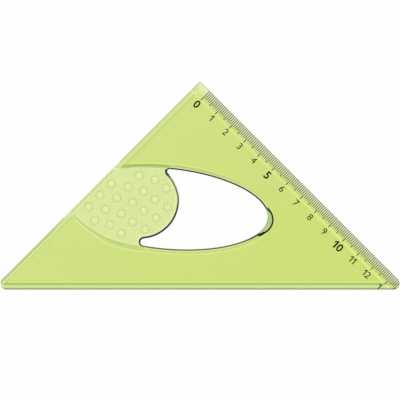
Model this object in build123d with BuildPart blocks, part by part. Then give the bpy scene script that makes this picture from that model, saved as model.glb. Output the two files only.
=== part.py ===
"""Drafting triangle, 45 degrees: a clear plate with a graduated edge, a finger window and a grip pad.

Millimetres. The origin lies under the middle of the plate's box, on its underside.
+X runs along the hypotenuse, +Y towards the right-angle corner, +Z out of the printed face.
"""

import os
from math import cos, radians, sin, sqrt, tan

from build123d import *

os.makedirs("parts", exist_ok=True)

# Plate outline and thickness
overall_length = 199.5
acute_corner_radius = 3.1
right_corner_radius = 0.6
plate_thickness = 2.0
underside_chamfer = 0.2

# Bevel along the graduated leg
bevel_width = 6.3
bevel_edge_thickness = 0.45

# Low ledges along the hypotenuse and the plain leg
ledge_depth = 0.45
ledge_step_width = 1.1
ledge_edge_round = 0.6
hypotenuse_ledge_width = 3.35
plain_leg_ledge_width = 3.3

# Finger window: a tilted ellipse, placed from the middle of the hypotenuse
window_centre_x = -17.05
window_centre_height = 40.55
window_half_length = 51.15
window_half_width = 19.9
window_tilt = -5.6
window_lip_width = 0.7
window_lip_height = 0.6
rim_width = 2.3

# Grip lobe that closes the window's left end between two round notches
upper_notch_angle = 89.9
upper_notch_radius = 1.25
lower_notch_angle = -100.6
lower_notch_radius = 1.8
lobe_reach = 10.45

# Finger scoop in the window's right end
scoop_centre_x = 29.0
scoop_centre_height = 35.0
scoop_radius = 7.1
scoop_wall_draft = 30.0
scoop_lip_thickness = 0.3
scoop_heel_thickness = 0.8

# Grip bay: an upper and a lower arc, each placed by its crown
bay_upper_radius = 131.0
bay_upper_crown_x = -27.5
bay_upper_crown_height = 60.95
bay_lower_radius = 50.4
bay_lower_crown_x = -25.9
bay_lower_crown_height = 21.55
bay_floor_thickness = 0.7

# Grip pad and its raised dots, in columns along the plain leg, placed from the lobe's centre
pad_thickness = 0.52
pad_seat_gap = 0.02
pad_side_clearance = 0.1
pad_edge_round = 0.4
lobe_lip_width = 0.55
lobe_lip_height = 0.42
dot_diameter = 3.8
dot_height = 0.4
dot_pitch = 7.95
dot_column_pitch = 7.0
dot_first_column = -16.14
dot_columns = ((3, -12.6), (5, -7.6), (5, -3.7), (5, -2.6), (3, -0.8))
dot_edge_margin = 0.4

# Printed scale along the graduated leg
scale_start = 6.88
scale_length = 136
mark_spacing = 1.0
marks_per_centimetre = 10
mark_width = 0.26
millimetre_mark_length = 4.3
half_centimetre_mark_length = 5.25
centimetre_mark_length = 6.3
print_thickness = 0.05

# How far a cutting shape runs past what it cuts, sideways and above the plate
overrun = 5.0
rim_overrun = 0.3

# How finely the coved rim is sectioned, and how often the lobe's radius is worked out again
rim_sections = 5
lobe_passes = 8

# Triangle with sharp corners, worked out from the rounded one
sharp_length = overall_length + 2 * sqrt(2) * acute_corner_radius
sharp_height = sharp_length / 2
leg_length = sharp_length / sqrt(2)
overall_height = sharp_height - (sqrt(2) - 1) * right_corner_radius
hypotenuse_y = -overall_height / 2
left_corner = (-sharp_length / 2, hypotenuse_y)
right_corner = (sharp_length / 2, hypotenuse_y)
top_corner = (0, hypotenuse_y + sharp_height)

# Levels
ledge_z = plate_thickness - ledge_depth
pad_seat_z = bay_floor_thickness + pad_seat_gap
field_z = pad_seat_z + pad_thickness
cut_top_z = plate_thickness + overrun
bevel_slope = (plate_thickness - bevel_edge_thickness) / bevel_width

# The rim is a cove: level at its foot, steepest where it meets the top face
rim_height = plate_thickness - field_z
cove_radius = (rim_width**2 + rim_height**2) / (2 * rim_height)
cove_top = rim_height + rim_overrun
cove_end = sqrt(cove_top * (2 * cove_radius - cove_top))

# Working planes along and across the graduated leg, the first with local +Y pointing out of the plate
graduated_leg = Plane(origin=top_corner, x_dir=(1, -1, 0), z_dir=(0, 0, 1))
leg_section = Plane(origin=top_corner, x_dir=(1, 1, 0), z_dir=(1, -1, 0)).offset(-overrun)


def above_hypotenuse(x, height):
    """A point of the plate from its place along and above the hypotenuse."""
    return Vector(x, hypotenuse_y + height)


window_centre = above_hypotenuse(window_centre_x, window_centre_height)
scoop_centre = above_hypotenuse(scoop_centre_x, scoop_centre_height)


def window_edge(angle):
    """Point and outward normal of the window's ellipse."""
    across = Vector(window_half_length * cos(radians(angle)), window_half_width * sin(radians(angle)))
    slope = Vector(cos(radians(angle)) / window_half_length, sin(radians(angle)) / window_half_width)
    point = window_centre + across.rotate(Axis.Z, window_tilt)
    return point, slope.rotate(Axis.Z, window_tilt).normalized()


def cove_level(spread):
    """Level of the cove at a sideways distance from its foot."""
    return field_z + cove_radius - sqrt(cove_radius**2 - spread**2)


def cove_steps(start):
    """Level and spread of the cove's sections, from a start inside it to above the top face."""
    for step in range(rim_sections):
        spread = start + (cove_end - start) * step / (rim_sections - 1)
        yield cove_level(spread), spread


# Notch circles touch the window's edge, and the lobe's arc touches both notch circles
upper_touch, upper_normal = window_edge(upper_notch_angle)
lower_touch, lower_normal = window_edge(lower_notch_angle)
upper_notch = upper_touch - upper_normal * upper_notch_radius
lower_notch = lower_touch - lower_normal * lower_notch_radius
notch_span = (upper_notch - lower_notch).length
notch_line = (upper_notch - lower_notch).normalized()
lobe_axis = notch_line.rotate(Axis.Z, -90)
notch_radii = upper_notch_radius + lower_notch_radius
notch_squares = (upper_notch_radius**2 + lower_notch_radius**2) / 2
notch_lean = (lower_notch_radius - upper_notch_radius) / (2 * notch_span)
lobe_radius = notch_span / 2
for _ in range(lobe_passes):
    lobe_shift = notch_lean * (2 * lobe_radius + notch_radii)
    lobe_squares = notch_span**2 / 4 + lobe_shift**2 + lobe_reach**2 - notch_squares
    lobe_radius = lobe_squares / (2 * lobe_reach + notch_radii)
notch_middle = (upper_notch + lower_notch) / 2
touch_line = (upper_touch - lower_touch).normalized()
lobe_centre = notch_middle + notch_line * lobe_shift + lobe_axis * (lobe_reach - lobe_radius)
lobe_tip = lobe_centre + lobe_axis * lobe_radius
upper_lean = (upper_notch - lobe_centre).normalized()
lower_lean = (lower_notch - lobe_centre).normalized()
bay_end_x = lobe_tip.X + lobe_reach


def lobe_edge(inset):
    """Edge of the grip lobe from notch to notch, moved into the grip."""
    arc_radius = lobe_radius - inset
    upper_meeting = lobe_centre + upper_lean * arc_radius
    lower_meeting = lobe_centre + lower_lean * arc_radius
    upper_start = upper_touch + upper_normal * inset
    lower_start = lower_touch + lower_normal * inset
    TangentArc(upper_start, upper_meeting, tangent=upper_normal.rotate(Axis.Z, 90))
    ThreePointArc(upper_meeting, lobe_centre + lobe_axis * arc_radius, lower_meeting)
    TangentArc(lower_start, lower_meeting, tangent=lower_normal.rotate(Axis.Z, -90))
    return upper_start, lower_start


# Outline of the plate
with BuildSketch() as outline:
    with BuildLine():
        Polyline(left_corner, right_corner, top_corner, close=True)
    make_face()
    fillet(outline.vertices().group_by(Axis.Y)[0], radius=acute_corner_radius)
    fillet(outline.vertices().sort_by(Axis.Y)[-1], radius=right_corner_radius)

# Outline of the finger window: the ellipse's right part, the two notches and the lobe
with BuildSketch() as window:
    with BuildLine():
        EllipticalCenterArc(
            window_centre,
            window_half_length,
            window_half_width,
            lower_notch_angle,
            arc_size=upper_notch_angle - lower_notch_angle,
            rotation=window_tilt,
        )
        lobe_edge(0)
    make_face()


def bay_outline(spread):
    """Grip bay between its two arcs, from outside the plain leg to inside the window."""
    upper_centre = above_hypotenuse(bay_upper_crown_x, bay_upper_crown_height - bay_upper_radius)
    lower_centre = above_hypotenuse(bay_lower_crown_x, bay_lower_crown_height + bay_lower_radius)
    with BuildSketch(mode=Mode.PRIVATE) as bay:
        with Locations(upper_centre):
            Circle(bay_upper_radius + spread)
        with Locations(lower_centre):
            Circle(bay_lower_radius + spread, mode=Mode.INTERSECT)
        with Locations((bay_end_x, 0)):
            Rectangle(overall_length, overall_length, align=(Align.MAX, Align.CENTER), mode=Mode.INTERSECT)
    return bay.sketch


def window_side(inset):
    """All that lies on the window's side of the grip lobe and its notches."""
    with BuildSketch(mode=Mode.PRIVATE) as side:
        with BuildLine():
            upper_start, lower_start = lobe_edge(inset)
            upper_far = upper_start + upper_normal * overrun
            lower_far = lower_start + lower_normal * overrun
            Polyline(
                upper_start,
                upper_far,
                (bay_end_x, upper_far.Y),
                (bay_end_x, lower_far.Y),
                lower_far,
                lower_start,
            )
        make_face()
    return side.sketch


def rim_outline(spread):
    """Whole ellipse of the window's rim."""
    with BuildSketch(mode=Mode.PRIVATE) as rim:
        with Locations(window_centre):
            Ellipse(window_half_length + spread, window_half_width + spread, rotation=window_tilt)
    return rim.sketch


# Steep lip and coved rim of the window, right of the grip lobe
lip_top_z = cove_level(window_lip_width)
rim_end = Plane(lower_touch, x_dir=touch_line, z_dir=touch_line.rotate(Axis.Z, -90))
with BuildPart() as window_rim:
    for level, spread in cove_steps(window_lip_width):
        with BuildSketch(Plane.XY.offset(level)):
            add(rim_outline(spread))
    loft()
    for level, spread in ((lip_top_z - window_lip_height, 0), (lip_top_z, window_lip_width)):
        with BuildSketch(Plane.XY.offset(level)):
            add(rim_outline(spread))
    loft()
    split(bisect_by=rim_end, keep=Keep.TOP)

# Recess of the grip bay: straight walls round the pad, then the coved rim
with BuildPart() as grip_bay:
    with BuildSketch(Plane.XY.offset(bay_floor_thickness)):
        add(bay_outline(0))
    extrude(amount=field_z - bay_floor_thickness)
    for level, spread in cove_steps(0):
        with BuildSketch(Plane.XY.offset(level)):
            add(bay_outline(spread))
    loft()

# Steep lip that runs round the grip's lobe and notches
with BuildPart() as lobe_lip:
    for level, inset in ((field_z - lobe_lip_height, 0), (field_z, lobe_lip_width)):
        with BuildSketch(Plane.XY.offset(level)):
            add(window_side(inset))
    loft(ruled=True)

# Clear plate
with BuildPart() as triangle_plate:
    with BuildSketch():
        add(outline.sketch)
    extrude(amount=ledge_z)
    fillet(triangle_plate.faces().sort_by(Axis.Z)[-1].edges(), radius=ledge_edge_round)
    chamfer(triangle_plate.faces().sort_by(Axis.Z)[0].edges(), length=underside_chamfer)

    # Raised middle panel between the ledges, with a sloped step
    for level, inset in ((ledge_z, -ledge_step_width), (plate_thickness, 0)):
        low_y = hypotenuse_ledge_width + inset
        low_x = low_y + sqrt(2) * (plain_leg_ledge_width + inset)
        apex_x = (plain_leg_ledge_width + inset) / sqrt(2)
        with BuildSketch(Plane.XY.offset(level)):
            with BuildLine():
                Polyline(
                    above_hypotenuse(-sharp_length / 2 + low_x, low_y),
                    above_hypotenuse(sharp_length / 2 - low_y, low_y),
                    above_hypotenuse(apex_x, sharp_height - apex_x),
                    close=True,
                )
            make_face()
    loft(ruled=True)

    # Bevel that thins the plate towards the graduated edge
    with BuildSketch(leg_section):
        with BuildLine():
            Polyline(
                (overrun, bevel_edge_thickness - bevel_slope * overrun),
                (overrun, plate_thickness + bevel_slope * overrun),
                (-bevel_width - overrun, plate_thickness + bevel_slope * overrun),
                close=True,
            )
        make_face()
    extrude(amount=leg_length + 2 * overrun, mode=Mode.SUBTRACT)

    # Grip bay and finger window
    add(grip_bay.part, mode=Mode.SUBTRACT)
    add(window_rim.part, mode=Mode.SUBTRACT)
    with BuildSketch():
        add(window.sketch)
    extrude(amount=cut_top_z, mode=Mode.SUBTRACT)

    # Finger scoop: a dished floor behind a thin lip, with a drafted wall
    wall_spread = (cut_top_z - scoop_heel_thickness) * tan(radians(scoop_wall_draft))
    with BuildSketch(Plane.XZ.offset(-scoop_centre.Y)):
        with BuildLine():
            Polyline(
                (scoop_centre.X, scoop_lip_thickness),
                (scoop_centre.X + scoop_radius / 2, scoop_lip_thickness),
                (scoop_centre.X + scoop_radius, scoop_heel_thickness),
                (scoop_centre.X + scoop_radius + wall_spread, cut_top_z),
                (scoop_centre.X, cut_top_z),
                close=True,
            )
        make_face()
    revolve(axis=Axis((scoop_centre.X, scoop_centre.Y, 0), (0, 0, 1)), mode=Mode.SUBTRACT)

triangle_plate.part.label = "triangle_plate"
export_step(triangle_plate.part, "parts/triangle_plate.step")

# One grip dot: a low dome
with BuildPart() as grip_dot:
    with BuildSketch(Plane.XZ):
        with BuildLine():
            TangentArc((0, dot_height), (dot_diameter / 2, 0), tangent=(1, 0))
            Polyline((0, dot_height), (0, 0), (dot_diameter / 2, 0))
        make_face()
    revolve(axis=Axis.Z)

# Outline of the grip pad, and the places on it that have room for a dot
with BuildSketch(Plane.XY.offset(pad_seat_z)) as pad_outline:
    add(bay_outline(-pad_side_clearance))
    add(outline.sketch, mode=Mode.INTERSECT)
    add(window_side(0), mode=Mode.SUBTRACT)

pad_face = pad_outline.sketch.face()
dot_grid = Plane(origin=lobe_centre, x_dir=(1, 1, 0), z_dir=(0, 0, 1))
dot_places = []
for column, (count, middle) in enumerate(dot_columns):
    for place in range(count):
        along = middle + (place - (count - 1) / 2) * dot_pitch
        inward = dot_first_column + column * dot_column_pitch
        foot = dot_grid.from_local_coords((along, -inward, pad_seat_z))
        room = pad_face.outer_wire().distance_to(foot) - dot_diameter / 2
        if pad_face.is_inside(foot) and room > dot_edge_margin:
            dot_places.append(foot + Vector(0, 0, pad_thickness))

# Grip pad in the bay, rounded along the plain leg and lipped along the window
with BuildPart() as grip_pad:
    with BuildSketch(Plane.XY.offset(pad_seat_z)):
        add(pad_outline.sketch.face())
    extrude(amount=pad_thickness)
    leg_edges = grip_pad.faces().sort_by(Axis.Z)[-1].edges().filter_by(GeomType.LINE)
    fillet(leg_edges.sort_by(Axis.X)[0], radius=pad_edge_round)
    add(lobe_lip.part, mode=Mode.SUBTRACT)
    with Locations(*dot_places):
        add(grip_dot.part)

grip_pad.part.label = "grip_pad"
export_step(grip_pad.part, "parts/grip_pad.step")

# Skin of the printed face along the graduated leg, one print thick
with BuildPart() as print_skin:
    with BuildSketch(leg_section):
        with BuildLine():
            outer_z = bevel_edge_thickness - bevel_slope * overrun
            Polyline(
                (overrun, outer_z),
                (overrun, outer_z + print_thickness),
                (-bevel_width, plate_thickness + print_thickness),
                (-bevel_width - overrun, plate_thickness + print_thickness),
                (-bevel_width - overrun, plate_thickness),
                (-bevel_width, plate_thickness),
                close=True,
            )
        make_face()
    extrude(amount=leg_length + 2 * overrun)

# Marks of the scale, one node for each length of stroke
half_step = marks_per_centimetre // 2
centimetres = range(0, scale_length + 1, marks_per_centimetre)
half_centimetres = range(half_step, scale_length + 1, marks_per_centimetre)
millimetres = [mark for mark in range(scale_length + 1) if mark % half_step]
for label, marks, mark_length in (
    ("centimetre_marks", centimetres, centimetre_mark_length),
    ("half_centimetre_marks", half_centimetres, half_centimetre_mark_length),
    ("millimetre_marks", millimetres, millimetre_mark_length),
):
    with BuildPart() as scale_marks:
        with BuildSketch(graduated_leg):
            with Locations(*[(scale_start + mark * mark_spacing, 0) for mark in marks]):
                Rectangle(mark_width, mark_length, align=(Align.CENTER, Align.MAX))
        extrude(amount=cut_top_z)
        with BuildSketch():
            add(outline.sketch)
        extrude(amount=cut_top_z, mode=Mode.INTERSECT)
        add(print_skin.part, mode=Mode.INTERSECT)

    scale_marks.part.label = label
    export_step(scale_marks.part, f"parts/{label}.step")
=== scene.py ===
import math

import bmesh
import bpy
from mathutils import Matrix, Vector
from mathutils.bvhtree import BVHTree


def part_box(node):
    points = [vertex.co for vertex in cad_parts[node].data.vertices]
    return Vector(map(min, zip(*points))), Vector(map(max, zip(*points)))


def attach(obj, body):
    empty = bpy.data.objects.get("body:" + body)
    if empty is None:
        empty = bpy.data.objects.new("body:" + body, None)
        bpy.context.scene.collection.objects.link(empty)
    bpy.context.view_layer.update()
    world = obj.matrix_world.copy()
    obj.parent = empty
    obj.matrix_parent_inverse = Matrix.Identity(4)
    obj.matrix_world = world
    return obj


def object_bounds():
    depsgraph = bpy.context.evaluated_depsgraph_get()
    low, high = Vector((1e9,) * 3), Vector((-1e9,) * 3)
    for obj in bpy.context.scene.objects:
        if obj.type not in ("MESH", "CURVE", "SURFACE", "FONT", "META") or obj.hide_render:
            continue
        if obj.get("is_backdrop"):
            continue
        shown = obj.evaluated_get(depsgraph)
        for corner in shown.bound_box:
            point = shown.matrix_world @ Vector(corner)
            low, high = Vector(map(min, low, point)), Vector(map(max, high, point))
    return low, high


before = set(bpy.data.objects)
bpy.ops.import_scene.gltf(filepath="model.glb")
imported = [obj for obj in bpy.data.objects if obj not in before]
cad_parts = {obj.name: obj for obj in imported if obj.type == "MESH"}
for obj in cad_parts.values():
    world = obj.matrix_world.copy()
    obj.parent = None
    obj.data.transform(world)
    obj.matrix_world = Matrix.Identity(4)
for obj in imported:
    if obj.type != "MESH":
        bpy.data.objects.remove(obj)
cad_low, cad_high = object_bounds()

MM = 0.001
ROOT_TWO = math.sqrt(2)

# Plate, in millimetres, as in the solids
plate_low, plate_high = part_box("triangle_plate")
PLATE_TOP = plate_high[2] / MM
HYPOTENUSE_Y = plate_low[1] / MM
RIGHT_CORNER_RADIUS = 0.6
SHARP_TOP_Y = plate_high[1] / MM + (ROOT_TWO - 1) * RIGHT_CORNER_RADIUS
LEG_DIRECTION = Vector((1.0, -1.0)) / ROOT_TWO
LEG_OUTWARD = Vector((1.0, 1.0)) / ROOT_TWO
HYPOTENUSE_LEDGE = 3.35
LEDGE_STEP = 1.1
BEVEL_WIDTH = 6.3

# Finger window, scoop and bay
WINDOW_CENTRE = (-17.05, HYPOTENUSE_Y + 40.55)
WINDOW_HALVES = (51.15, 19.9)
WINDOW_TILT = math.radians(-5.6)
LIP_WIDTH = 0.7
RIM_WIDTH = 2.3
SCOOP_CENTRE = (29.0, HYPOTENUSE_Y + 35.0)
SCOOP_RADIUS = 7.1
BAY_UPPER_RADIUS = 131.0
BAY_UPPER_CENTRE = (-27.5, HYPOTENUSE_Y + 60.95 - BAY_UPPER_RADIUS)
BAY_LOWER_RADIUS = 50.4
BAY_LOWER_CENTRE = (-25.9, HYPOTENUSE_Y + 21.55 + BAY_LOWER_RADIUS)
UPPER_NOTCH = (-15.14, HYPOTENUSE_Y + 59.1)
UPPER_NOTCH_RADIUS = 1.25
LOWER_NOTCH = (-28.02, HYPOTENUSE_Y + 23.77)
LOWER_NOTCH_RADIUS = 1.8
NOTCHES = ((UPPER_NOTCH, UPPER_NOTCH_RADIUS), (LOWER_NOTCH, LOWER_NOTCH_RADIUS))

# Grip pad and its dots, in slanted columns of a count and a middle
LOBE_CENTRE = (-29.72, HYPOTENUSE_Y + 44.73)
LOBE_RADIUS = 19.22
LOBE_AXIS = (0.9395, -0.3424)
LOBE_HALF_ANGLE = math.radians(65.0)
LOBE_BLEND = 0.2
PAD_BOTTOM = 0.7
DOT_RADIUS = 1.9
DOT_PITCH = 7.95
DOT_COLUMN_PITCH = 7.0
DOT_FIRST_COLUMN = -16.14
DOT_COLUMNS = ((3, -12.6), (5, -7.6), (5, -3.7), (5, -2.6), (3, -0.8))
GATE_MARK = (-16.3, HYPOTENUSE_Y + 42.1)

# Scale and its strokes, each kind by its spacing and its length
SCALE_START = 6.88
CENTIMETRE = 10.0
SCALE_LENGTH = 136.0
MARK_LENGTHS = ((1.0, 4.3), (5.0, 5.25), (CENTIMETRE, 6.3))
# Painted shadow beside each stroke: its reach from the stroke's middle, and its soft sides and ends
STROKE_SHADOW_SPREAD = 0.19
STROKE_SHADOW_SIDE_BLEND = 0.04
STROKE_SHADOW_END_BLEND = 0.1

# Numerals: strokes and gaps are shares of a numeral's height, weights are shares of the font's size
NUMERAL_TOP = 7.05
NUMERAL_LEAN = 0.035
NUMERAL_SHIFT = 0.08
NUMERAL_HEIGHT = 3.4
NUMERAL_WEIGHT = 0.004
STROKE = 0.155
BOLD_HEIGHT = 4.2
BOLD_WEIGHT = 0.022
BOLD_STROKE = 0.2
FIGURE_GAP = 0.16
FIGURE_STEPS = 6
NARROW_FIGURES = "48"
BOLD_NUMERALS = (0, 5, 10)
LAST_NUMERAL = 13
PRINT_END = 129.9
PRINT_MARGIN = 0.3
INK_THICKNESS = 0.05
PROBE_LIFT = 10.0

# Flag of the figure 1: a share of the height, then shares of the stroke
FLAG_REACH = 0.25
FLAG_SHOULDER = 0.3
FLAG_DEPTH = 1.2
FLAG_ROOT = 1.3

# Resin: density and colour together set how much light is left after a path through it
RESIN_IOR = 1.5
RESIN_DENSITY = 850.0
RESIN_COLOUR = (0.796, 0.898, 0.257, 1.0)
GRIP_COLOUR = (0.965, 1.0, 0.77, 1.0)

# What each kind of upper face lets through, squared, because the shader takes the root
CLEAR = (1.0, 1.0, 1.0, 1.0)
PANEL_TONE = (0.86, 0.85, 0.575, 1.0)
PANEL_TONE_RIGHT = (0.8, 0.805, 0.36, 1.0)
LEDGE_TONE = (0.72, 0.85, 0.62, 1.0)
# Painted shade of the scoop's floor, darker in a band across the scoop's middle height, paler above and
# below
SCOOP_SHADE_TONE = (0.26, 0.48, 0.12, 1.0)
SCOOP_SHADE_TONE_PALE = (0.34, 0.5, 0.22, 1.0)
# Painted highlight along upper edges
HIGHLIGHT_TONE = (1.0, 1.0, 0.8, 1.0)
# Tones of the bay's coves, part of their painted shade
BAY_UPPER_TONE = (0.8, 1.0, 0.44, 1.0)
BAY_LOWER_TONE = (0.76, 0.88, 0.38, 1.0)
GRIP_TONE = (0.815, 0.92, 0.593, 1.0)

# Colours of what lets no light through
# Dark lines of painted shade
SHADE_LINE_COLOUR = (0.012, 0.02, 0.004, 1.0)
# Opaque green of the cut sides, also laid as painted shade on slopes, edges and coves
CUT_TONE_DARK = (0.3, 0.43, 0.06, 1.0)
CUT_TONE_PALE = (0.42, 0.55, 0.12, 1.0)
INK_COLOUR = (0.003, 0.005, 0.001, 1.0)
INK_COLOUR_WORN = (0.014, 0.018, 0.006, 1.0)

# How much green gains and blue loses in the middle of the painted shade
SHADE_GREEN_GAIN = 0.7
SHADE_BLUE_LOSS = 1.2

# A fade is written as its start and end, and a band as its start, end and soft sides.
# Where a line or a shade lies is in millimetres, from the edge or arc that it follows or along x or y.

# Where one part of the plate passes into the next
MIDDLE_BLEND = 3.0
NOTCH_BLEND = 0.4
LEVEL_BLEND = 0.05
UNDERSIDE_LEVEL = 0.1
SEAT_LEVEL = PAD_BOTTOM + 0.1
PAST_LEDGE = (1.9, 2.9)
TOWARDS_NOTCH = (-48.0, -36.0)
TOWARDS_SCOOP = (0.0, 26.0)
SCOOP_FOOT = (4.0, 6.0)
PANEL_TURN = (-60.0, 110.0)

# Painted highlights along upper edges
RIM_GLEAM = (RIM_WIDTH - 0.1, RIM_WIDTH + 0.45, 0.3)
RIM_GLEAM_LOSS = 0.8
LIP_GLEAM = (0.95, 1.3, 0.2)
BAY_LOWER_GLEAM = (1.5, 2.0, 0.4)
BAY_GLEAM_SHIFT = 0.8
BAY_GLEAM_TURN = (-57.0, -46.0)
STEP_GLEAM = (HYPOTENUSE_LEDGE + 0.2, HYPOTENUSE_LEDGE + 0.7, 0.3)
BEVEL_GLEAM = (BEVEL_WIDTH - 0.4, BEVEL_WIDTH + 0.3, 0.5)
FAINT_GLEAM = 0.6

# Painted shade along the plate's outline, and the share of light that passes there
PAST_RIM = (3.0, 4.0)
PAST_GRADUATED_EDGE = (0.9, 1.3)
EDGE_DEPTH = (1.0, 1.3)
EDGE_SHARE = 0.58
FOOT_LINE = (0.75, 1.0)
FOOT_SHARE = 0.56
LEG_LINE = (0.55, 1.05, 0.2)
LEG_LINE_END = (-25.0, -15.0)
LEG_SHARE = 0.82
TIP = (-98.5, -96.5)
TIP_SHARE = 0.55

# Painted shade on the bevel, the hypotenuse's step and the window's rim, and painted shadow at the
# strokes' edges
BEVEL_SHADE = (4.6, 5.2, 0.3)
BEVEL_SHARE = 0.885
SCALE_BLEND = 0.3
STEP_SHADE = (HYPOTENUSE_LEDGE - 0.8, HYPOTENUSE_LEDGE - 0.1, 0.2)
STEP_START = (1.8, 2.8)
STEP_SHARE = 0.745
# Painted shadow at the strokes' edges
STROKE_SHADOW_SHARE = 0.1
RIM_SHADE = (LIP_WIDTH + 0.5, RIM_WIDTH - 0.25, 0.25)
RIM_UPPER_SHARE = 0.78
RIM_LOWER_SHARE = 0.95

# Painted shade of the bay's coves
BAY_UPPER_SHADE = (0.1, RIM_WIDTH - 0.5, 0.15)
BAY_UPPER_SHARE = 0.7
BAY_UPPER_LOSS = 0.12
BAY_UPPER_DEEPER = (0.0, 1.5)
BAY_LOWER_START = (-0.1, 0.2)
BAY_LOWER_END = (0.6, 0.85)
BAY_LOWER_RUN_OUT = (-31.0, -26.5)
BAY_LOWER_SHARE = 0.83
BAY_LOWER_LOSS = 0.08
BAY_LOWER_DEEPER = (-60.0, -50.0)

# How the lower cove's painted shade starts earlier, ends later and thins out towards the notch
NOTCH_START_SHIFT = 0.25
NOTCH_END_SHIFT = 0.8
NOTCH_SEAM = (0.9, 1.1, 0.25)
NOTCH_SEAM_LOSS = 0.5
NOTCH_THINNING = (0.5, 1.0)
NOTCH_THINNING_LOSS = 0.4

# Painted shade of the window's lip, a dark line, wider at the scoop's foot
LIP_LINE = (-0.2, LIP_WIDTH - 0.09, 0.1)
LIP_SWELL = 0.25
LIP_SWELL_TURN = (23.0, 26.0)
LIP_STOP = (28.8, 29.6)
LIP_OUT_OF_SCOOP = (-0.3, -0.1)
NOTCH_LINE = (0.55, 0.7)
LIP_UPPER_SHARE = 0.04
LIP_LOWER_SHARE = 0.3
LIP_UPPER_COVER = 0.96
LIP_LOWER_COVER = 0.5

# Painted shade of the scoop's wall, a dark line, wider at its shoulder, its heel and its toe
WALL_START = (-0.1, 0.0)
WALL_END = (0.65, 0.75)
WALL_SHOULDER = (-4.6, -3.5, 0.8)
WALL_SHOULDER_SWELL = 0.2
WALL_LOWER_SIDE = (2.5, 4.0)
WALL_LOWER_SWELL = 0.12
WALL_LOWER_SHRINK = 0.08
WALL_HEEL = (31.1, 31.9, 0.6)
WALL_HEEL_SWELL = 0.3
WALL_TOE = (29.9, 33.0)
WALL_TOE_SWELL = 0.65
WALL_UPPER_STOP = (-6.5, -5.1)
WALL_LOWER_STOP = (28.4, 29.8)
WALL_SHARE = 0.03
WALL_COVER = 0.98

# Floor of the scoop, and the painted shade along its inner edge
SCOOP_SIDE = (-0.1, 0.0)
SCOOP_LEVEL = (0.8, 0.95)
SCOOP_DEEP = (-2.5, 0.5, 1.2)
SCOOP_EDGE = (0.3, 0.5)
SCOOP_EDGE_SHARE = 0.45

# Tones of the bevel and the ledges
BEVEL_CLEAR = (2.8, 4.6)
BEVEL_CLEAR_START = (-0.6, -0.2)
BEVEL_CLEAR_BEFORE = 0.2
BEVEL_CLEARNESS = 0.8
LEDGE_INSIDE = (2.2, 3.3)
LEG_LEDGE_INSIDE = (1.0, 2.1)

# Kinds of faces, by how level they lie: 1 is level and 0 is upright
SIDE_FACES = (0.05, 0.25)
LINE_FACES = (0.1, 0.3)
ROUNDED_FACES = (0.9, 0.99)
SLOPE_FACES = (0.86, 0.96, 0.02)
COVE_FACES = (0.75, 0.985, 0.01)

# Clouds in the resin
CLOUD_DEPTH = 0.03
PLATE_CLOUDS = 18.0
PAD_CLOUDS = 25.0

# Polish and scratches of the plate, with a grain and a turn for each set of scratches
POLISH = 0.04
POLISH_CHANGE = 0.03
POLISH_GRAIN = 140.0
COVE_ROUGHNESS = 0.03
SCRATCH_ROUGHNESS = 0.12
SCRATCH_SETS = ((900.0, 0.4), (700.0, -0.9))
SCRATCH_DETAIL = 1.0
SCRATCH_STRETCH = (0.02, 1.0, 1.0)
SCRATCH_CREST = (0.68, 0.74)
SCRATCH_PATCHES = 60.0
SCRATCH_PATCH_EDGE = (0.45, 0.65)
WAVES = 35.0
WAVE_HEIGHT = 0.3
PLATE_RELIEF_STRENGTH = 0.03
PLATE_RELIEF_DEPTH = 0.2 * MM

# Cut and cloudy sides, and how much each kind of face takes of that surface; on slopes, edges and coves it
# is painted shade
CUT_GRAIN = 400.0
CUT_ROUGHNESS = 0.3
INNER_FACES = (4.0, 5.0)
SLOPES_PAST_BEVEL = (6.0, 7.0)
COVES_PAST_BEVEL = (6.5, 7.5)
SIDE_CLOUD = 0.8
SLOPE_SHADE_COVER = 0.4
SLOPE_SHADE_COVER_LOSS = 0.18
EDGE_SHADE_COVER = 0.4
COVE_SHADE_COVER = 0.2

# Pad's painted shade, a dark line along the window, softer on the lobe's upper side and at the lower notch
PAD_SIDE_REACH = 8.0
PAD_LINE_START = (-0.05, 0.1)
PAD_LINE_END = (0.75, 1.0)
PAD_INWARD_START = 0.3
PAD_INWARD_END = 0.5
PAD_UPPER_END = 0.2
UPPER_NOTCH_REACH = (1.4, 3.4)
LOWER_NOTCH_REACH = (LOWER_NOTCH[1] - 1.0, LOWER_NOTCH[1] + 1.2)
PAD_LINE_SHARE = 0.02
PAD_UPPER_GAIN = 0.33
PAD_NOTCH_GAIN = 0.4
PAD_LINE_COVER = 0.8
PAD_UPPER_LOSS = 0.65
PAD_NOTCH_LOSS = 0.6

# Pad's other painted shade and highlights, its gate mark, and its satin face
# Painted shade along the plain leg
PAD_LEG_LINE = (0.7, 1.1)
PAD_LEG_SHARE = 0.82
# Painted highlight inside the pad's edge
PAD_LIP_HIGHLIGHT = (1.1, 1.7, 0.4)
# Painted shade round each dot's foot, and a painted highlight on each dot's top
DOT_FOOT = (DOT_RADIUS - 0.1, DOT_RADIUS + 0.35, 0.3)
DOT_FOOT_SHARE = 0.88
DOT_CROWN = (0.6 * DOT_RADIUS, 0.9 * DOT_RADIUS)
DOT_CROWN_HIGHLIGHT = 0.7
GATE_MARK_SIZE = (0.2, 0.4)
GATE_MARK_SHARE = 0.45
SATIN = 0.16
SATIN_CHANGE = 0.08
SATIN_GRAIN = 90.0
PAD_GRAIN = 1800.0
PAD_RELIEF_STRENGTH = 0.04
PAD_RELIEF_DEPTH = 0.1 * MM

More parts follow.
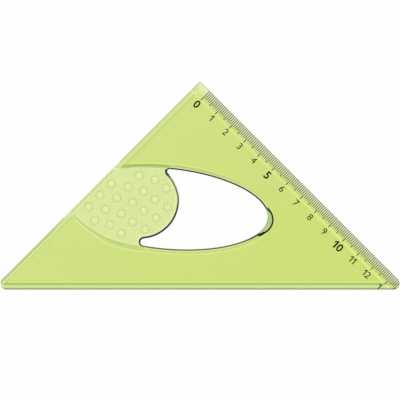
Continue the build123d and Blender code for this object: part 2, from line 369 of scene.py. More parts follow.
# Ink, and the dark lines of painted shade
SHADE_LINE_ROUGHNESS = 0.4
SHADE_LINE_GLOSS = 0.1
INK_ROUGHNESS = 0.5
INK_WEAR_ROUGHNESS = 0.2
INK_GLOSS = 0.06
INK_GRAIN = 2600.0
INK_GRAIN_DETAIL = 3.0
INK_WEAR = (0.55, 0.8)
INK_RELIEF_STRENGTH = 0.1
INK_RELIEF_DEPTH = 0.02 * MM

# Table and lamps, in metres and watts
WHITE = (1.0, 1.0, 1.0, 1.0)
PAPER = (0.96, 0.96, 0.96, 1.0)
TABLE_HALF = 4.0
TABLE_LEVEL = -0.0003
TABLE_GLOW = 0.95
WORLD_LEVEL = 0.85
LAMP_SIZE = (0.26, 0.2)
LAMP_DISTANCE = 1.8
KEY_LEAN = math.radians(-9.0)
KEY_POWER = 0.72
FILL_LEAN = math.radians(26.0)
FILL_POWER = 0.6

# Camera, in metres, with its lens and sensor in millimetres
VIEW_WIDTH = 0.2
VIEW_CENTRE = (-0.000015, -0.007095)
LENS = 400.0
SENSOR_WIDTH = 36.0


class Wire:
    """A node's output, with arithmetic that adds Math nodes."""

    def __init__(self, finish, socket):
        self.finish = finish
        self.socket = socket

    def math(self, operation, first, second=0.0):
        return self.finish.add("ShaderNodeMath", {"operation": operation}, {0: first, 1: second})

    def __add__(self, other):
        return self.math("ADD", self, other)

    def __radd__(self, other):
        return self.math("ADD", other, self)

    def __sub__(self, other):
        return self.math("SUBTRACT", self, other)

    def __rsub__(self, other):
        return self.math("SUBTRACT", other, self)

    def __mul__(self, other):
        return self.math("MULTIPLY", self, other)

    def __rmul__(self, other):
        return self.math("MULTIPLY", other, self)

    def __truediv__(self, other):
        return self.math("DIVIDE", self, other)

    def __pow__(self, other):
        return self.math("POWER", self, other)

    def __abs__(self):
        return self.math("ABSOLUTE", self)

    def __round__(self):
        return self.math("ROUND", self)

    def at_least(self, other):
        return self.math("MAXIMUM", self, other)

    def at_most(self, other):
        return self.math("MINIMUM", self, other)


class Finish:
    """One material or world, made of the nodes that it needs."""

    def __init__(self, owner):
        owner.use_nodes = True
        self.owner = owner
        self.tree = owner.node_tree
        self.tree.nodes.clear()

    def add(self, kind, settings=None, inputs=None, output=0):
        node = self.tree.nodes.new(kind)
        for name, value in (settings or {}).items():
            setattr(node, name, value)
        for key, value in (inputs or {}).items():
            if isinstance(value, Wire):
                self.tree.links.new(value.socket, node.inputs[key])
            else:
                node.inputs[key].default_value = value
        return Wire(self, node.outputs[output]) if node.outputs else None

    def fade(self, wire, start, end):
        """0 at start and 1 at end, smooth between."""
        return self.add(
            "ShaderNodeMapRange",
            {"interpolation_type": "SMOOTHSTEP"},
            {"Value": wire, "From Min": start, "From Max": end},
        )

    def band(self, wire, low, high, soft):
        """1 from low to high, with soft sides."""
        return self.fade(wire, low - soft, low) * (1 - self.fade(wire, high, high + soft))

    def noise(self, scale, detail=2.0, stretch=(1.0, 1.0, 1.0), turn=0.0):
        point = self.add("ShaderNodeTexCoord", output="Object")
        placed = self.add(
            "ShaderNodeMapping",
            inputs={"Vector": point, "Rotation": (0.0, 0.0, turn), "Scale": stretch},
        )
        return self.add("ShaderNodeTexNoise", inputs={"Vector": placed, "Scale": scale, "Detail": detail})

    def mix(self, factor, first, second, blend="MIX"):
        return self.add(
            "ShaderNodeMix",
            {"data_type": "RGBA", "blend_type": blend},
            {"Factor": factor, 6: first, 7: second},
            output=2,
        )

    def relief(self, height, strength, depth):
        return self.add(
            "ShaderNodeBump",
            inputs={"Strength": strength, "Distance": depth, "Height": height},
        )

    def cover(self, factor, under, over):
        """One surface laid over another, by a factor from 0 to 1."""
        return self.add("ShaderNodeMixShader", inputs={0: factor, 1: under, 2: over})


class Spot:
    """Where a point of the triangle lies, in millimetres, and how level its surface is."""

    def __init__(self, finish):
        self.finish = finish
        point = finish.add("ShaderNodeTexCoord", output="Object")
        self.x, self.y, self.z = [self.part(point, axis) / MM for axis in "XYZ"]
        normal = finish.add("ShaderNodeTexCoord", output="Normal")
        self.levelness = abs(self.part(normal, "Z"))

    def part(self, vector, axis):
        return self.finish.add("ShaderNodeSeparateXYZ", inputs={"Vector": vector}, output=axis)

    def above(self, level):
        """1 for the surfaces above a level."""
        return self.finish.fade(self.z, level - LEVEL_BLEND, level + LEVEL_BLEND)

    def inside_plain_leg(self):
        return (self.x - self.y + SHARP_TOP_Y) / ROOT_TWO

    def inside_graduated_leg(self):
        return (SHARP_TOP_Y - self.x - self.y) / ROOT_TWO

    def from_axis(self, centre):
        """Distance from an upright axis."""
        return ((self.x - centre[0]) ** 2.0 + (self.y - centre[1]) ** 2.0) ** 0.5


class PlateSpot(Spot):
    """A point of the plate, with its distances from edges and arcs and the part that it lies in."""

    def __init__(self, finish):
        super().__init__(finish)
        self.height = self.y - HYPOTENUSE_Y
        self.plain = self.inside_plain_leg()
        self.graduated = self.inside_graduated_leg()
        self.along_scale = self.plain - SCALE_START
        self.outside = self.outside_window()
        self.from_bay_upper = self.from_axis(BAY_UPPER_CENTRE) - BAY_UPPER_RADIUS
        self.from_bay_lower = self.from_axis(BAY_LOWER_CENTRE) - BAY_LOWER_RADIUS
        self.from_scoop = self.from_axis(SCOOP_CENTRE) - SCOOP_RADIUS
        self.below_scoop = SCOOP_CENTRE[1] - self.y

        middle = WINDOW_CENTRE[1]
        self.above_middle = finish.fade(self.y, middle - MIDDLE_BLEND, middle + MIDDLE_BLEND)
        self.below_middle = 1 - self.above_middle
        upper_part = self.above_middle * self.right_of(UPPER_NOTCH)
        lower_part = self.below_middle * self.right_of(LOWER_NOTCH)
        self.by_window = upper_part + lower_part
        self.by_bay = 1 - self.by_window
        self.past_ledge = finish.fade(self.plain, *PAST_LEDGE)
        self.towards_notch = finish.fade(self.x, *TOWARDS_NOTCH)
        self.towards_scoop = finish.fade(self.x, *TOWARDS_SCOOP) * self.above_middle
        self.scoop_foot = finish.fade(self.below_scoop, *SCOOP_FOOT)

    def right_of(self, notch):
        return self.finish.fade(self.x, notch[0] - NOTCH_BLEND, notch[0] + NOTCH_BLEND)

    def outside_window(self):
        """Roughly how far a point lies outside the window's ellipse."""
        across, up = self.x - WINDOW_CENTRE[0], self.y - WINDOW_CENTRE[1]
        cos_tilt, sin_tilt = math.cos(WINDOW_TILT), math.sin(WINDOW_TILT)
        along = (across * cos_tilt + up * sin_tilt) / WINDOW_HALVES[0]
        beside = (up * cos_tilt - across * sin_tilt) / WINDOW_HALVES[1]
        level = (along ** 2.0 + beside ** 2.0) ** 0.5
        steepness = ((along / WINDOW_HALVES[0]) ** 2.0 + (beside / WINDOW_HALVES[1]) ** 2.0) ** 0.5
        return (level - 1) * level / steepness


class PadSpot(Spot):
    """A point of the grip pad, with its distances from the pad's edge and dots."""

    def __init__(self, finish):
        super().__init__(finish)
        self.across, self.up = self.x - LOBE_CENTRE[0], self.y - LOBE_CENTRE[1]

    def from_dot(self):
        """Distance from the middle of the nearest raised dot."""
        along, inward = (self.across + self.up) / ROOT_TWO, (self.across - self.up) / ROOT_TWO
        nearest = None
        for column, (count, middle) in enumerate(DOT_COLUMNS):
            beside = inward - (DOT_FIRST_COLUMN + column * DOT_COLUMN_PITCH)
            past = along - middle
            last = (count - 1) / 2
            dot = round(past / DOT_PITCH).at_least(-last).at_most(last)
            gap = ((past - dot * DOT_PITCH) ** 2.0 + beside ** 2.0) ** 0.5
            nearest = gap.at_most(nearest) if nearest else gap
        return nearest

    def inside_edge(self):
        """Depth into the pad from its lobe and its notches."""
        reach = self.from_axis(LOBE_CENTRE)
        turned = self.across * LOBE_AXIS[0] + self.up * LOBE_AXIS[1] - reach * math.cos(LOBE_HALF_ANGLE)
        behind = 1 - self.finish.fade(turned, -LOBE_BLEND, LOBE_BLEND)
        depth = LOBE_RADIUS - reach + LOBE_RADIUS * behind
        for notch, radius in NOTCHES:
            depth = depth.at_most(self.from_axis(notch) - radius)
        return depth


def pass_light(light, mask, share):
    """Lets only a share of the light through inside a mask."""
    return light * (1 - mask * (1 - share))


def clouds(finish, scale):
    """Share of light that changes a little from place to place."""
    return 1 - CLOUD_DEPTH / 2 + CLOUD_DEPTH * finish.noise(scale)


def greenish(finish, light):
    """Colour of painted shade from a share of light, greener in the middle shades."""
    level, middle = light * light, light * (1 - light)
    green = level * (1 + SHADE_GREEN_GAIN * middle)
    blue = level * (1 - SHADE_BLUE_LOSS * middle)
    return finish.add("ShaderNodeCombineColor", inputs={"Red": level, "Green": green, "Blue": blue})


def grey(finish, light):
    """Colour of painted shade from a share of light, which keeps its hue."""
    level = light * light
    return finish.add("ShaderNodeCombineColor", inputs={"Red": level, "Green": level, "Blue": level})


def hairlines(finish):
    """Thin scratches in two directions, in patches, 0 to 1."""
    lines = 0.0
    for scale, turn in SCRATCH_SETS:
        grain = finish.noise(scale, SCRATCH_DETAIL, SCRATCH_STRETCH, turn)
        lines = lines + finish.fade(grain, *SCRATCH_CREST)
    return lines * finish.fade(finish.noise(SCRATCH_PATCHES), *SCRATCH_PATCH_EDGE)


def resin_volume(finish, colour):
    return finish.add("ShaderNodeVolumeAbsorption", inputs={"Color": colour, "Density": RESIN_DENSITY})


def resin_surface(finish, colour, roughness, bump):
    return finish.add(
        "ShaderNodeBsdfPrincipled",
        inputs={
            "Base Color": colour,
            "Roughness": roughness,
            "IOR": RESIN_IOR,
            "Transmission Weight": 1.0,
            "Normal": bump,
        },
    )


def dark_surface(finish):
    """Nearly black surface laid on the dark lines as painted shade."""
    return finish.add(
        "ShaderNodeBsdfPrincipled",
        inputs={
            "Base Color": SHADE_LINE_COLOUR,
            "Roughness": SHADE_LINE_ROUGHNESS,
            "IOR": RESIN_IOR,
            "Specular IOR Level": SHADE_LINE_GLOSS,
        },
    )


def stroke_edges(finish, spot):
    """Painted shadow along the sides and ends of the printed strokes, 0 to 1."""
    edges = 0.0
    for step, length in MARK_LENGTHS:
        apart = abs(spot.along_scale - round(spot.along_scale / step) * step)
        width = 1 - finish.fade(apart, STROKE_SHADOW_SPREAD, STROKE_SHADOW_SPREAD + STROKE_SHADOW_SIDE_BLEND)
        stroke = width * (1 - finish.fade(spot.graduated, length, length + STROKE_SHADOW_END_BLEND))
        edges = stroke.at_least(edges)
    return edges * finish.band(spot.along_scale, -STROKE_SHADOW_SPREAD, SCALE_LENGTH + STROKE_SHADOW_SPREAD, STROKE_SHADOW_END_BLEND)


def gleams(finish, spot):
    """Painted highlights along the upper edges of the rim, the window's lip, the bay, the step and the
    bevel.
    """
    rim = finish.band(spot.outside, *RIM_GLEAM) * (1 - RIM_GLEAM_LOSS * spot.towards_scoop)
    lip = FAINT_GLEAM * finish.band(spot.outside, *LIP_GLEAM)
    bay_upper = finish.band(spot.from_bay_upper, *RIM_GLEAM) * spot.past_ledge * spot.above_middle
    shift = BAY_GLEAM_SHIFT * finish.fade(spot.x, *BAY_GLEAM_TURN)
    bay_lower = finish.band(spot.from_bay_lower - shift, *BAY_LOWER_GLEAM) * spot.below_middle
    step = FAINT_GLEAM * finish.band(spot.height, *STEP_GLEAM)
    bevel = finish.band(spot.graduated, *BEVEL_GLEAM)
    return (rim + lip) * spot.by_window + (bay_upper + bay_lower) * spot.by_bay + step + bevel


def outer_edge(finish, spot):
    """Rounded outer edge of the hypotenuse and the plain leg, 0 to 1."""
    edge = (1 - finish.fade(spot.levelness, *ROUNDED_FACES)) * finish.fade(spot.outside, *PAST_RIM)
    edge = edge * finish.fade(spot.graduated, *PAST_GRADUATED_EDGE)
    return edge * (1 - finish.fade(spot.plain, *EDGE_DEPTH) * finish.fade(spot.height, *EDGE_DEPTH))


def outline_light(finish, spot, edge):
    """Painted shade along the plate's outline, as the share of light that passes there."""
    low_on_leg = 1 - finish.fade(spot.y, *LEG_LINE_END)
    at_tip = 1 - finish.fade(spot.x, *TIP)
    light = pass_light(1.0, edge, EDGE_SHARE)
    light = pass_light(light, 1 - finish.fade(spot.height, *FOOT_LINE), FOOT_SHARE)
    light = pass_light(light, finish.band(spot.plain, *LEG_LINE) * low_on_leg, LEG_SHARE)
    return pass_light(light, edge * at_tip, TIP_SHARE)


def bay_coves(finish, spot):
    """Painted shade of the bay's upper and lower cove, 0 to 1."""
    upper = finish.band(spot.from_bay_upper, *BAY_UPPER_SHADE) * spot.by_bay * spot.above_middle

    reach, notch = spot.from_bay_lower, spot.towards_notch
    lower = finish.fade(reach + NOTCH_START_SHIFT * notch, *BAY_LOWER_START) * spot.below_middle
    lower = lower * (1 - finish.fade(spot.x, *BAY_LOWER_RUN_OUT))
    lower = lower * (1 - finish.fade(reach - NOTCH_END_SHIFT * notch, *BAY_LOWER_END))
    lower = lower * (1 - NOTCH_SEAM_LOSS * notch * finish.band(reach, *NOTCH_SEAM))
    lower = lower * (1 - NOTCH_THINNING_LOSS * notch * finish.fade(reach, *NOTCH_THINNING))
    return upper * spot.past_ledge, lower * spot.past_ledge


def window_lip(finish, spot):
    """Painted shade of the steep lip round the window and its notches, 0 to 1."""
    low, high, soft = LIP_LINE
    swell = LIP_SWELL * finish.fade(spot.x, *LIP_SWELL_TURN) * spot.scoop_foot
    lip = finish.band(spot.outside, low, high + swell, soft) * spot.by_window
    lip = lip * finish.fade(spot.from_scoop, *LIP_OUT_OF_SCOOP)
    lip = lip * (1 - spot.scoop_foot * finish.fade(spot.x, *LIP_STOP))
    for notch, radius in NOTCHES:
        lip = lip.at_least(1 - finish.fade(spot.from_axis(notch) - radius, *NOTCH_LINE))
    return lip


def scoop_wall(finish, spot):
    """Painted shade of the scoop's wall, 0 to 1."""
    lower_side = finish.fade(spot.below_scoop, *WALL_LOWER_SIDE)
    heel = finish.band(spot.x, *WALL_HEEL) * spot.scoop_foot
    toe = (1 - finish.fade(spot.x, *WALL_TOE)) * spot.scoop_foot
    shoulder = finish.band(spot.below_scoop, *WALL_SHOULDER)
    inner_swell = WALL_HEEL_SWELL * heel + WALL_LOWER_SWELL * lower_side + WALL_SHOULDER_SWELL * shoulder
    outer_swell = WALL_TOE_SWELL * toe - WALL_LOWER_SHRINK * lower_side
    wall = finish.fade(spot.from_scoop + inner_swell, *WALL_START)
    wall = wall * (1 - finish.fade(spot.from_scoop - outer_swell, *WALL_END))
    return wall * finish.fade(spot.below_scoop, *WALL_UPPER_STOP) * finish.fade(spot.x, *WALL_LOWER_STOP)


def scoop_floor(finish, spot):
    """Floor of the scoop, 0 to 1."""
    return (1 - finish.fade(spot.from_scoop, *SCOOP_SIDE)) * (1 - finish.fade(spot.z, *SCOOP_LEVEL))


def bevel_and_rim_light(finish, spot):
    """Painted shade on the bevel, the hypotenuse's step and the window's rim, and painted shadow at the
    strokes' edges, as a share of light.
    """
    on_scale = finish.band(spot.along_scale, 0.0, SCALE_LENGTH, SCALE_BLEND)
    light = pass_light(1.0, finish.band(spot.graduated, *BEVEL_SHADE) * on_scale, BEVEL_SHARE)
    step = finish.band(spot.height, *STEP_SHADE) * finish.fade(spot.plain, *STEP_START)
    light = pass_light(light, step, STEP_SHARE)
    light = pass_light(light, stroke_edges(finish, spot), STROKE_SHADOW_SHARE)
    rim = finish.band(spot.outside, *RIM_SHADE) * spot.by_window
    upper_share = RIM_UPPER_SHARE + (1 - RIM_UPPER_SHARE) * spot.towards_scoop
    light = pass_light(light, rim * spot.above_middle, upper_share)
    return pass_light(light, rim * spot.below_middle, RIM_LOWER_SHARE)


def bay_light(finish, spot, upper, lower):
    """Painted shade on the bay's coves, as a share of light."""
    upper_share = BAY_UPPER_SHARE - BAY_UPPER_LOSS * finish.fade(spot.from_bay_upper, *BAY_UPPER_DEEPER)
    lower_share = BAY_LOWER_SHARE - BAY_LOWER_LOSS * finish.fade(spot.x, *BAY_LOWER_DEEPER)
    return pass_light(pass_light(1.0, upper, upper_share), lower, lower_share)


def window_light(finish, spot, lip, wall, floor):
    """Painted shade on the window's lip, the scoop's wall and the scoop's floor by the window, as a share
    of light.
    """
    lip_share = LIP_UPPER_SHARE + (LIP_LOWER_SHARE - LIP_UPPER_SHARE) * spot.below_middle
    light = pass_light(pass_light(1.0, lip, lip_share), wall, WALL_SHARE)
    return pass_light(light, (1 - finish.fade(spot.outside, *SCOOP_EDGE)) * floor, SCOOP_EDGE_SHARE)


def face_tone(finish, spot, coves, floor, highlight):
    """Tone of the panel, the ledges, the bay, the bevel, the light lines and the scoop."""
    tone = finish.mix(finish.fade(spot.x - spot.y, *PANEL_TURN), PANEL_TONE, PANEL_TONE_RIGHT)
    inside = finish.fade(spot.height, *LEDGE_INSIDE) * finish.fade(spot.plain, *LEG_LEDGE_INSIDE)
    tone = finish.mix((1 - inside) * spot.above(SEAT_LEVEL), tone, LEDGE_TONE)
    # Tones of the painted shade in the bay's coves
    for cove, cove_tone in zip(coves, (BAY_UPPER_TONE, BAY_LOWER_TONE)):
        tone = finish.mix(cove, tone, cove_tone)
    on_scale = finish.fade(spot.along_scale, *BEVEL_CLEAR_START)
    bevel = 1 - finish.fade(spot.graduated, *BEVEL_CLEAR)
    bevel = bevel * (BEVEL_CLEAR_BEFORE + (1 - BEVEL_CLEAR_BEFORE) * on_scale)
    tone = finish.mix(BEVEL_CLEARNESS * bevel, tone, CLEAR)
    # Painted highlights along upper edges
    tone = finish.mix(highlight, tone, HIGHLIGHT_TONE)
    # Painted shade of the scoop's floor
    deep = finish.band(spot.y - SCOOP_CENTRE[1], *SCOOP_DEEP)
    return finish.mix(floor, tone, finish.mix(deep, SCOOP_SHADE_TONE_PALE, SCOOP_SHADE_TONE))


def cut_surface(finish, bump):
    """Opaque green surface: cut and cloudy on the sides, painted shade on slopes, edges and coves."""
    tone = finish.mix(finish.noise(CUT_GRAIN), CUT_TONE_DARK, CUT_TONE_PALE)
    return finish.add(
        "ShaderNodeBsdfPrincipled",
        inputs={"Base Color": tone, "Roughness": CUT_ROUGHNESS, "Normal": bump},
    )


def cloudiness(finish, spot, edge, coves, highlight):
    """How much the sides look cut and cloudy, and how much painted shade the slopes, edges and coves take,
    0 to 1.
    """
    off_hypotenuse = finish.fade(spot.height, *INNER_FACES)
    inner = off_hypotenuse * finish.fade(spot.plain, *INNER_FACES)
    sides = 1 - finish.fade(spot.levelness, *SIDE_FACES)
    slopes = finish.band(spot.levelness, *SLOPE_FACES) * (1 - inner)
    slopes = slopes * finish.fade(spot.graduated, *SLOPES_PAST_BEVEL)
    inner_coves = coves * inner * finish.fade(spot.graduated, *COVES_PAST_BEVEL) * (1 - highlight)
    cut_and_shade = (SIDE_CLOUD * sides).at_least(slopes * (SLOPE_SHADE_COVER - SLOPE_SHADE_COVER_LOSS * off_hypotenuse))
    return cut_and_shade.at_least(EDGE_SHADE_COVER * edge).at_least(COVE_SHADE_COVER * inner_coves)


def clear_green():
    """Clear yellow-green resin of the plate."""
    finish = Finish(bpy.data.materials.new("clear_green"))
    spot = PlateSpot(finish)
    # Painted highlights, and masks of the painted shade on the outline, the bay's coves, the lip and the
    # scoop
    highlight = gleams(finish, spot)
    edge = outer_edge(finish, spot)
    bay_upper, bay_lower = bay_coves(finish, spot)
    lip, wall, floor = window_lip(finish, spot), scoop_wall(finish, spot), scoop_floor(finish, spot)

    # Painted shade on the bevel, the step, the strokes' edges, the rim, the bay's coves, the lip and in
    # the scoop
    light = bevel_and_rim_light(finish, spot) * bay_light(finish, spot, bay_upper, bay_lower)
    light = light * window_light(finish, spot, lip, wall, floor) * clouds(finish, PLATE_CLOUDS)
    tone = face_tone(finish, spot, (bay_upper, bay_lower), floor, highlight)
    tone = finish.mix(1.0, tone, greenish(finish, light), "MULTIPLY")
    # Painted shade along the outline, which keeps its hue
    tone = finish.mix(1.0, tone, grey(finish, outline_light(finish, spot, edge)), "MULTIPLY")
    colour = finish.mix(spot.above(UNDERSIDE_LEVEL), CLEAR, tone)

    scratches = hairlines(finish)
    coves = finish.band(spot.levelness, *COVE_FACES)
    roughness = POLISH + POLISH_CHANGE * finish.noise(POLISH_GRAIN)
    roughness = roughness + SCRATCH_ROUGHNESS * scratches + COVE_ROUGHNESS * coves
    height = WAVE_HEIGHT * finish.noise(WAVES) + scratches
    bump = finish.relief(height, PLATE_RELIEF_STRENGTH, PLATE_RELIEF_DEPTH)
    surface = resin_surface(finish, colour, roughness, bump)
    # Cut and cloudy sides, and painted shade on slopes, edges and coves
    cut_and_shade = cloudiness(finish, spot, edge, coves, highlight)
    surface = finish.cover(cut_and_shade, surface, cut_surface(finish, bump))

    # Dark lines of painted shade laid on the lip and the scoop's wall
    lip_cover = LIP_LOWER_COVER + (LIP_UPPER_COVER - LIP_LOWER_COVER) * spot.above_middle
    dark = (lip * lip_cover).at_least(WALL_COVER * wall) * finish.fade(spot.levelness, *LINE_FACES)
    surface = finish.cover(dark, surface, dark_surface(finish))
    volume = resin_volume(finish, RESIN_COLOUR)
    finish.add("ShaderNodeOutputMaterial", inputs={"Surface": surface, "Volume": volume})
    return finish.owner


def pad_line(finish, spot, depth):
    """Painted shade along the pad's edge: the share of light, and how far the dark line covers it."""
    upper = finish.fade(spot.up, -PAD_SIDE_REACH, PAD_SIDE_REACH)
    inward = finish.fade(spot.up, 0.0, PAD_SIDE_REACH)
    line = finish.fade(depth - PAD_INWARD_START * inward, *PAD_LINE_START)
    line = line * (1 - finish.fade(depth + PAD_UPPER_END * upper - PAD_INWARD_END * inward, *PAD_LINE_END))
    upper = upper * finish.fade(spot.from_axis(UPPER_NOTCH), *UPPER_NOTCH_REACH)
    at_notch = 1 - finish.fade(spot.y, *LOWER_NOTCH_REACH)
    light = pass_light(1.0, line, PAD_LINE_SHARE + PAD_UPPER_GAIN * upper + PAD_NOTCH_GAIN * at_notch)
    return light, line * (PAD_LINE_COVER - PAD_UPPER_LOSS * upper - PAD_NOTCH_LOSS * at_notch)


def pale_grip():
    """Paler satin resin of the grip pad."""
    finish = Finish(bpy.data.materials.new("pale_grip"))
    spot = PadSpot(finish)
    depth = spot.inside_edge()
    from_dot = spot.from_dot()

    # Painted shade along the pad's edge, the plain leg and round the dots' feet, and the gate mark
    light, dark = pad_line(finish, spot, depth)
    light = pass_light(light, 1 - finish.fade(spot.inside_plain_leg(), *PAD_LEG_LINE), PAD_LEG_SHARE)
    light = pass_light(light, finish.band(from_dot, *DOT_FOOT), DOT_FOOT_SHARE)
    light = pass_light(light, 1 - finish.fade(spot.from_axis(GATE_MARK), *GATE_MARK_SIZE), GATE_MARK_SHARE)
    light = light * clouds(finish, PAD_CLOUDS)
    # Painted highlights on the dots' tops and inside the pad's edge
    crown_highlight = DOT_CROWN_HIGHLIGHT * (1 - finish.fade(from_dot, *DOT_CROWN))
    tone = finish.mix(crown_highlight.at_least(finish.band(depth, *PAD_LIP_HIGHLIGHT)), GRIP_TONE, CLEAR)
    tone = finish.mix(1.0, tone, greenish(finish, light), "MULTIPLY")
    colour = finish.mix(spot.above(SEAT_LEVEL), CLEAR, tone)

    bump = finish.relief(finish.noise(PAD_GRAIN), PAD_RELIEF_STRENGTH, PAD_RELIEF_DEPTH)
    surface = resin_surface(finish, colour, SATIN + SATIN_CHANGE * finish.noise(SATIN_GRAIN), bump)
    surface = finish.cover(dark, surface, dark_surface(finish))
    volume = resin_volume(finish, GRIP_COLOUR)
    finish.add("ShaderNodeOutputMaterial", inputs={"Surface": surface, "Volume": volume})
    return finish.owner


def printed_ink():
    """Matt ink of the strokes and the numerals, a little worn."""
    finish = Finish(bpy.data.materials.new("printed_ink"))
    wear = finish.fade(finish.noise(INK_GRAIN, INK_GRAIN_DETAIL), *INK_WEAR)
    surface = finish.add(
        "ShaderNodeBsdfPrincipled",
        inputs={
            "Base Color": finish.mix(wear, INK_COLOUR, INK_COLOUR_WORN),
            "Roughness": INK_ROUGHNESS + INK_WEAR_ROUGHNESS * wear,
            "Specular IOR Level": INK_GLOSS,
            "Normal": finish.relief(wear, INK_RELIEF_STRENGTH, INK_RELIEF_DEPTH),
        },
    )
    finish.add("ShaderNodeOutputMaterial", inputs={"Surface": surface})
    return finish.owner


def give(piece, material):
    piece.data.materials.clear()
    piece.data.materials.append(material)


def place(name, data):
    piece = bpy.data.objects.new(name, data)
    bpy.context.scene.collection.objects.link(piece)
    return piece


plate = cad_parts["triangle_plate"]
ink = printed_ink()
give(plate, clear_green())
give(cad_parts["grip_pad"], pale_grip())
for marks in ("centimetre_marks", "half_centimetre_marks", "millimetre_marks"):
    give(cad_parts[marks], ink)


def one(shape, stroke):
    """The figure 1, a stem with a slanted flag, one unit high."""
    outline = (
        (0.0, 0.0),
        (stroke, 0.0),
        (stroke, 1.0),
        (FLAG_SHOULDER * stroke, 1.0),
        (-FLAG_REACH, 1.0 - FLAG_REACH),
        (-FLAG_REACH, 1.0 - FLAG_REACH - FLAG_DEPTH * stroke),
        (0.0, 1.0 - FLAG_ROOT * stroke),
    )
    shape.faces.new([shape.verts.new((x, y, 0.0)) for x, y in outline])


def figure(shape, digit, bold):
    """Any other figure, from the font, one unit high."""
    text = bpy.data.curves.new("figure", "FONT")
    text.body = digit
    text.resolution_u = FIGURE_STEPS
    plain_weight = 0.0 if digit in NARROW_FIGURES else NUMERAL_WEIGHT
    text.offset = BOLD_WEIGHT if bold else plain_weight
    piece = place("figure", text)
    bpy.context.view_layer.update()
    flat = bpy.data.meshes.new_from_object(piece.evaluated_get(bpy.context.evaluated_depsgraph_get()))
    bpy.data.objects.remove(piece)
    shape.from_mesh(flat)
    bpy.data.meshes.remove(flat)
    heights = [vertex.co.y for vertex in shape.verts]
    foot, head = min(heights), max(heights)
    for vertex in shape.verts:
        vertex.co = (vertex.co - Vector((0.0, foot, 0.0))) / (head - foot)


def numeral_face(number):
    """A flat numeral in its place on the scale, level with the plate's top."""
    bold = number in BOLD_NUMERALS
    mesh = bpy.data.meshes.new("numeral")
    row = bmesh.new()
    pen = 0.0
    for digit in str(number):
        shape = bmesh.new()
        if digit == "1":
            one(shape, BOLD_STROKE if bold else STROKE)
        else:
            figure(shape, digit, bold)
        places = [vertex.co.x for vertex in shape.verts]
        left, right = min(places), max(places)
        bmesh.ops.translate(shape, verts=shape.verts[:], vec=(pen - left, 0.0, 0.0))
        pen += right - left + FIGURE_GAP
        shape.to_mesh(mesh)
        shape.free()
        row.from_mesh(mesh)
    bpy.data.meshes.remove(mesh)

    size = BOLD_HEIGHT if bold else NUMERAL_HEIGHT
    middle = (pen - FIGURE_GAP) / 2
    for vertex in row.verts:
        along = SCALE_START + CENTIMETRE * number + NUMERAL_SHIFT + (vertex.co.x - middle) * size
        inward = NUMERAL_TOP + NUMERAL_LEAN * number + (1 - vertex.co.y) * size
        point = Vector((0.0, SHARP_TOP_Y)) + LEG_DIRECTION * along - LEG_OUTWARD * inward
        vertex.co = Vector((point.x, point.y, PLATE_TOP)) * MM
    return row


def cut_along(shape, point, normal, clear):
    """Cuts a flat shape along a line, and clears what lies past it where asked."""
    bmesh.ops.bisect_plane(
        shape,
        geom=shape.verts[:] + shape.edges[:] + shape.faces[:],
        plane_co=(*(point * MM), 0),
        plane_no=(*normal, 0),
        clear_outer=clear,
    )


def lay_on_plate(shape, tree):
    """Ends a numeral where the print ends, bends it over the ledge and gives it the ink's thickness."""
    print_end = Vector((0.0, SHARP_TOP_Y)) + LEG_DIRECTION * (SCALE_START + PRINT_END)
    cut_along(shape, print_end, LEG_DIRECTION, True)
    for height, clear in (
        (PRINT_MARGIN, True),
        (HYPOTENUSE_LEDGE - LEDGE_STEP, False),
        (HYPOTENUSE_LEDGE, False),
    ):
        cut_along(shape, Vector((0.0, HYPOTENUSE_Y + height)), Vector((0.0, -1.0)), clear)
    bmesh.ops.triangulate(shape, faces=shape.faces[:])
    for vertex in shape.verts:
        hit = tree.ray_cast(vertex.co + Vector((0, 0, PROBE_LIFT * MM)), Vector((0, 0, -1)))
        vertex.co.z = hit[0].z
    raised = bmesh.ops.extrude_face_region(shape, geom=shape.faces[:])["geom"]
    for part in raised:
        if isinstance(part, bmesh.types.BMVert):
            part.co.z += INK_THICKNESS * MM
    bmesh.ops.recalc_face_normals(shape, faces=shape.faces[:])


def scale_numerals():
    tree = BVHTree.FromObject(plate, bpy.context.evaluated_depsgraph_get())
    mesh = bpy.data.meshes.new("scale_numerals")
    every = bmesh.new()
    for number in range(LAST_NUMERAL + 1):
        shape = numeral_face(number)
        lay_on_plate(shape, tree)
        shape.to_mesh(mesh)
        shape.free()
        every.from_mesh(mesh)
    every.to_mesh(mesh)
    every.free()
    piece = place("scale_numerals", mesh)
    give(piece, ink)
    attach(piece, "root")


def seen_rays(finish):
    """1 for rays that show a surface to the camera, straight or through gloss and glass."""
    seen = finish.add("ShaderNodeLightPath", output="Is Camera Ray")
    for name in ("Is Glossy Ray", "Is Transmission Ray"):
        seen = seen.at_least(finish.add("ShaderNodeLightPath", output=name))
    return seen


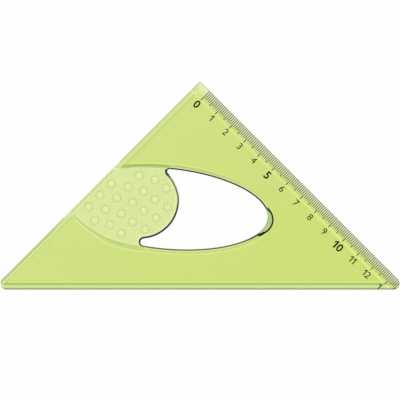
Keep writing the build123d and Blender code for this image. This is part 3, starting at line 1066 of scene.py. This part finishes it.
def table_top():
    """A white table just under the plate, which keeps a little of the plate's shadow."""
    mesh = bpy.data.meshes.new("table_top")
    signs = ((-1, -1), (1, -1), (1, 1), (-1, 1))
    corners = [(x * TABLE_HALF, y * TABLE_HALF, TABLE_LEVEL) for x, y in signs]
    mesh.from_pydata(corners, [], [(0, 1, 2, 3)])
    piece = place("table_top", mesh)
    finish = Finish(bpy.data.materials.new("pale_table"))
    glow = finish.add("ShaderNodeEmission", inputs={"Color": WHITE, "Strength": 1.0})
    paper = finish.add("ShaderNodeBsdfDiffuse", inputs={"Color": PAPER})
    surface = finish.cover(TABLE_GLOW * seen_rays(finish), paper, glow)
    finish.add("ShaderNodeOutputMaterial", inputs={"Surface": surface})
    give(piece, finish.owner)
    piece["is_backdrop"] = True


def studio_world():
    """A room that is seen white and lights the plate a little less."""
    finish = Finish(bpy.data.worlds.new("studio"))
    strength = WORLD_LEVEL + (1 - WORLD_LEVEL) * seen_rays(finish)
    sky = finish.add("ShaderNodeBackground", inputs={"Color": WHITE, "Strength": strength})
    finish.add("ShaderNodeOutputWorld", inputs={"Surface": sky})
    bpy.context.scene.world = finish.owner


def strip_lamp(name, lean, power):
    """A soft lamp, leaning from straight above towards the top corner, or away if lean is negative."""
    light = bpy.data.lights.new(name, "AREA")
    light.shape = "RECTANGLE"
    light.size, light.size_y = LAMP_SIZE
    light.energy = power
    piece = place(name, light)
    piece.location = (0.0, LAMP_DISTANCE * math.sin(lean), LAMP_DISTANCE * math.cos(lean))
    piece.rotation_euler = (-lean, 0.0, 0.0)


def camera_above():
    """A camera straight above, far enough away to see no sides."""
    eye = bpy.data.cameras.new("eye")
    eye.lens, eye.sensor_width = LENS, SENSOR_WIDTH
    piece = place("eye", eye)
    piece.location = (*VIEW_CENTRE, PLATE_TOP * MM + VIEW_WIDTH * LENS / SENSOR_WIDTH)
    bpy.context.scene.camera = piece


scale_numerals()
table_top()
studio_world()
strip_lamp("key_strip", KEY_LEAN, KEY_POWER)
strip_lamp("fill_strip", FILL_LEAN, FILL_POWER)
camera_above()

bpy.context.scene.view_settings.view_transform = "Standard"

low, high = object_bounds()
{"cad": [list(cad_low), list(cad_high)], "visual": [list(low), list(high)]}
